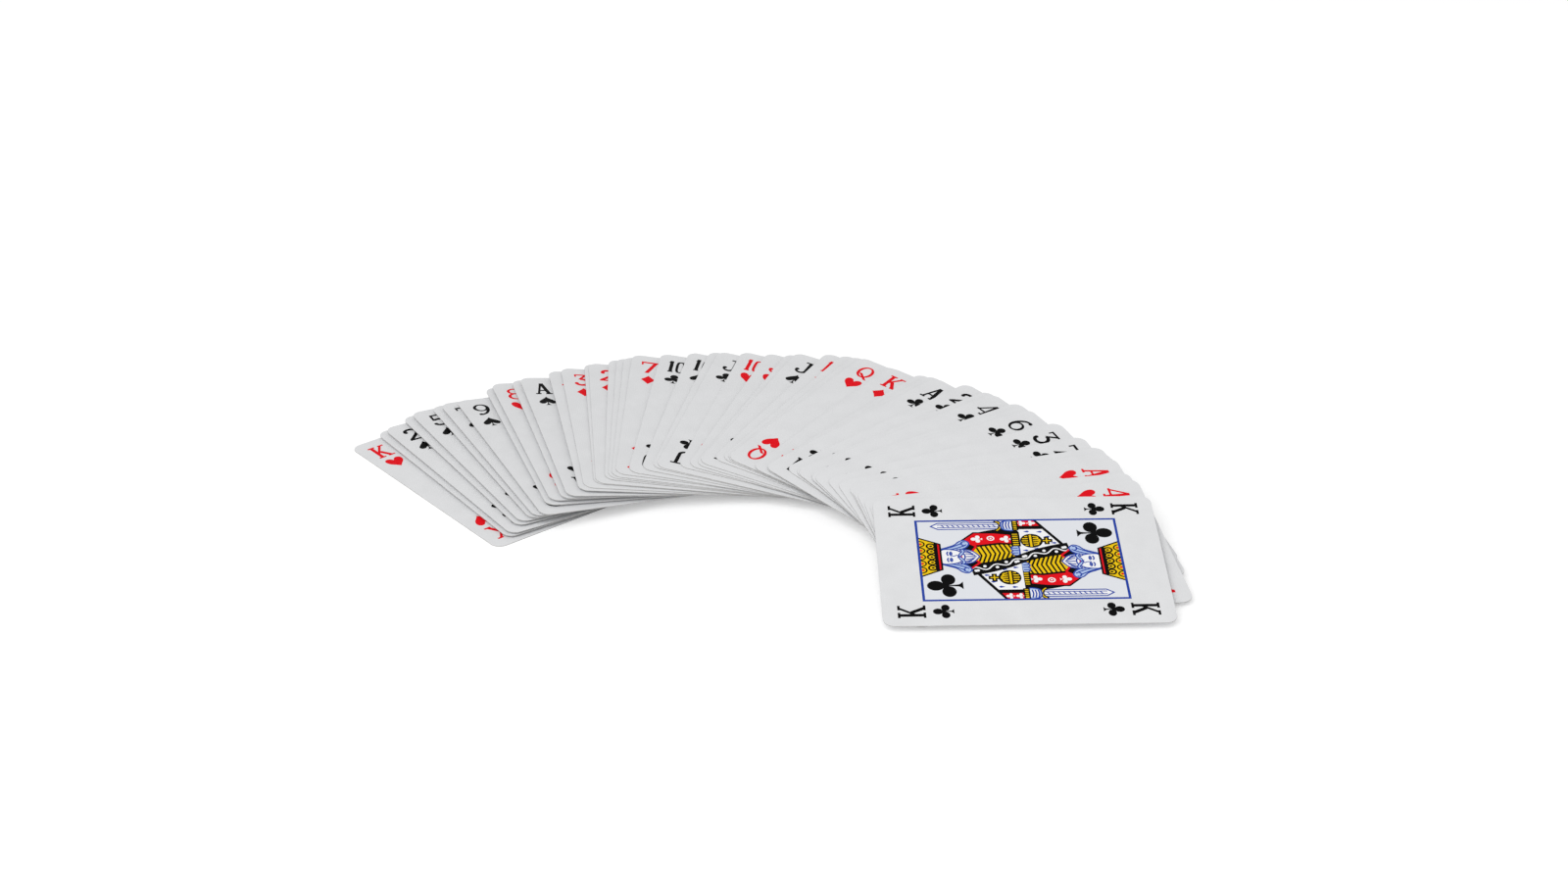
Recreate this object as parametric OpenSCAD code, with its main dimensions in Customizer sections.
// A full deck of playing cards, face up, spread over a table in one arc.
// The bottom card lies flat at the left end. Each next card lies on the one before it, so that the row
// leans like shingles: the left edge of a card is raised, and its right edge comes down close to the table.
// Seen from above, the row runs clockwise round a middle point, with the long sides of the cards pointing
// away from it. Lengths are in millimetres and angles in degrees.

/* [Card] */
// Length of a card
card_l = 88; // [75:1:110]
// Width of a card
card_w = 63; // [50:1:75]
// Thickness of the card stock
card_t = 0.28; // [0.22:0.01:0.36]
// Radius of the corners
corner_r = 3.5; // [1:0.5:6]

/* [Row] */
// Distance from the middle of the arc to the inner ends of the cards
inner_r = 60; // [50:0.5:90]
// Azimuth of the bottom card, counted from the right
first_azimuth = 129.5; // [110:0.5:150]
// Angle from the bottom card to the last card below the top one
sweep = 119; // [90:1:140]
// Lean of a card once the row lies on itself
lean = 8; // [6:0.1:12]
// Count of cards over which the row goes from flat to its full lean
lead_in = 12; // [5:1:16]
// Air left between a card and the one that it lies on
air_gap = 0.05; // [0.04:0.01:0.1]
// Most that a stretch of the row strays from the arc
stray = 6; // [0:0.5:8]
// Most that a single card stands out of line with its neighbours
wobble = 0.4; // [0:0.1:2]
// Most that a card turns on its outer end, out of its direction on the arc
skew = 3; // [0:0.5:3]

/* [Top card] */
// Turn of the top card from the card below it
top_turn = 9; // [0:1:20]
// Distance that the top card lies inside the arc
top_inset = 4; // [0:0.5:20]
// Distance that the top card lies back from its place on the arc
top_back = 10; // [0:0.5:20]

/* [Hidden] */
$fn = 48;
// Every card of the deck, from the bottom one up
NODES = [
    "king_of_hearts", "three_of_spades", "two_of_spades", "four_of_spades",
    "five_of_spades", "six_of_spades", "seven_of_spades", "nine_of_spades",
    "eight_of_spades", "eight_of_hearts", "nine_of_hearts", "ace_of_spades",
    "four_of_diamonds", "three_of_diamonds", "ace_of_diamonds", "two_of_diamonds",
    "five_of_diamonds", "six_of_diamonds", "seven_of_hearts", "seven_of_diamonds",
    "ten_of_clubs", "ten_of_spades", "king_of_spades", "jack_of_clubs",
    "ten_of_hearts", "jack_of_hearts", "nine_of_diamonds", "jack_of_spades",
    "ten_of_diamonds", "eight_of_diamonds", "six_of_hearts", "queen_of_hearts",
    "jack_of_diamonds", "king_of_diamonds", "queen_of_diamonds", "queen_of_clubs",
    "ace_of_clubs", "two_of_clubs", "eight_of_clubs", "four_of_clubs",
    "five_of_clubs", "nine_of_clubs", "six_of_clubs", "three_of_clubs",
    "seven_of_clubs", "queen_of_spades", "five_of_hearts", "two_of_hearts",
    "ace_of_hearts", "three_of_hearts", "four_of_hearts", "king_of_clubs"
];
// Number of the top card
top = len(NODES) - 1;
// Strip that each card shows beside the next one, from the bottom card up, as a share of the sweep.
// A wide strip shows the whole corner index, a narrower one a part of it or only bare stock.
strip_shares = [
    42, 10, 29, 12, 27, 11, 20, 45, 9, 27,
    11, 41, 18, 33, 6, 28, 11, 10, 11, 39,
    37, 28, 12, 29, 34, 26, 11, 37, 22, 14,
    12, 37, 7, 43, 14, 12, 39, 32, 13, 38,
    12, 13, 50, 47, 33, 17, 9, 10, 39, 19
];
// How far the row strays outward at these card numbers, as a share of the most
stray_shares = [
    [0, 0.96], [4, 0.81], [7, -0.35], [9, -0.17], [11, -0.7], [23, -0.05], [24, 0.28], [27, 0.3],
    [28, 0.75], [33, 0.45], [36, 0.02], [37, 0.36], [44, -0.32], [50, -0.53]
];
// How far cards turn on their outer ends at these card numbers, as a share of the most. A card that turns
// anticlockwise, which counts as more than zero, leaves more of the inner index below it in view.
skew_shares = [
    [0, 0], [1, 0.12], [2, 0.1], [7, 0], [8, -0.4], [11, 0], [23, 0], [24, 0.8], [28, 0.1], [30, 0],
    [31, -0.2], [32, 1], [33, 0.9], [36, 0.1], [37, 0.3], [40, 0], [42, 0], [44, -0.7], [46, -0.65],
    [50, -0.15]
];
// Turn from one card to the next in the rule that sets each card's wobble, so that it never repeats
wobble_turn = 137.5;

// Sum of the first entries of a list
function sum_of(list, count) = count == 0 ? 0 : list[count - 1] + sum_of(list, count - 1);

// Azimuth of card k's place on the arc
function arc_azimuth(k) = k == top
    ? arc_azimuth(top - 1) - top_turn
    : first_azimuth - sweep * sum_of(strip_shares, k) / sum_of(strip_shares, len(strip_shares));

// Direction of card k's long side, from its inner to its outer end. The top card has no turn of its own.
function azimuth(k) = arc_azimuth(k) + (k == top ? 0 : skew * lookup(k, skew_shares));

// Unit vectors on the table along card k's long side, and across it to the raised edge
function outward(k) = [cos(azimuth(k)), sin(azimuth(k))];
function sideways(k) = [-sin(azimuth(k)), cos(azimuth(k))];

// Lean of card k about its long side
function lean_of(k) = lean * min(1, k / lead_in);

// Distance of card k's centre from the middle of the arc
function arc_r(k) = inner_r + card_l / 2 + stray * lookup(k, stray_shares) + wobble * sin(k * wobble_turn);

// Point on the table below the middle of card k's outer end, and the one below its centre, both seen from
// the middle of the arc
function outer_end(k) = (arc_r(k) + card_l / 2) * [cos(arc_azimuth(k)), sin(arc_azimuth(k))];
function place(k) = outer_end(k) - card_l / 2 * outward(k)
    + (k == top ? top_back * sideways(k) - top_inset * outward(k) : [0, 0]);

// Points on the table below the four corners of card k
function corners(k) = [
    for (a = [-1, 1], b = [-1, 1])
        place(k) + a * card_l / 2 * outward(k) + b * card_w / 2 * cos(lean_of(k)) * sideways(k)
];

// Height of card k's middle plane above its own centre, over a point on the table
function climb(k, point) = tan(lean_of(k)) * (sideways(k) * (point - place(k)));

// Upright distance from card k's middle plane to its face
function face_rise(k) = card_t / 2 / cos(lean_of(k));

// Height of card k's centre when its low edge is on the table
function on_table(k) = card_w / 2 * sin(lean_of(k)) + card_t / 2 * cos(lean_of(k));

// Height of card k's centre when it lies on the card below, whose centre is at below. Each corner of
// card k clears the whole plane of that card, so either can be drawn out along its own length.
function on_card(k, below) =
    max([for (point = corners(k)) below + climb(k - 1, point) - climb(k, point)])
    + face_rise(k - 1) + face_rise(k) + air_gap / cos(lean_of(k));

// Heights of the centres of all cards, worked out from the bottom one up
function seats(found) = len(found) > top
    ? found
    : seats(concat(found, max(on_table(len(found)), on_card(len(found), found[len(found) - 1]))));
seat_z = seats([on_table(0)]);

// Half the room that card k takes along a level direction, with its round corners and its thickness
function half_room(k, way) =
    let (u = outward(k) * way, v = sideways(k) * way, lean_k = lean_of(k))
    (card_l / 2 - corner_r) * abs(u) + (card_w / 2 - corner_r) * abs(v) * cos(lean_k)
    + corner_r * norm([u, v * cos(lean_k)]) + card_t / 2 * abs(v) * sin(lean_k);

// Middle of the whole row along a level direction
function middle(way) = (
    max([for (k = [0 : top]) place(k) * way + half_room(k, way)])
    + min([for (k = [0 : top]) place(k) * way - half_room(k, way)])
) / 2;
middle_x = middle([1, 0]);
middle_y = middle([0, 1]);

// Outline of a die-cut card, with its long side along X
module card_outline() {
    square([card_l - 2 * corner_r, card_w], center = true);
    square([card_l, card_w - 2 * corner_r], center = true);
    for (x = [-1, 1], y = [-1, 1])
        translate([x * (card_l / 2 - corner_r), y * (card_w / 2 - corner_r)])
            circle(r = corner_r);
}

// Card k of the row, face up, in its place
module card(k) {
    color("white")
        translate([place(k)[0] - middle_x, place(k)[1] - middle_y, seat_z[k]])
            rotate([0, 0, azimuth(k)])
                rotate([lean_of(k), 0, 0])
                    linear_extrude(card_t, center = true)
                        card_outline();
}

for (k = [0 : top])
    card(k);
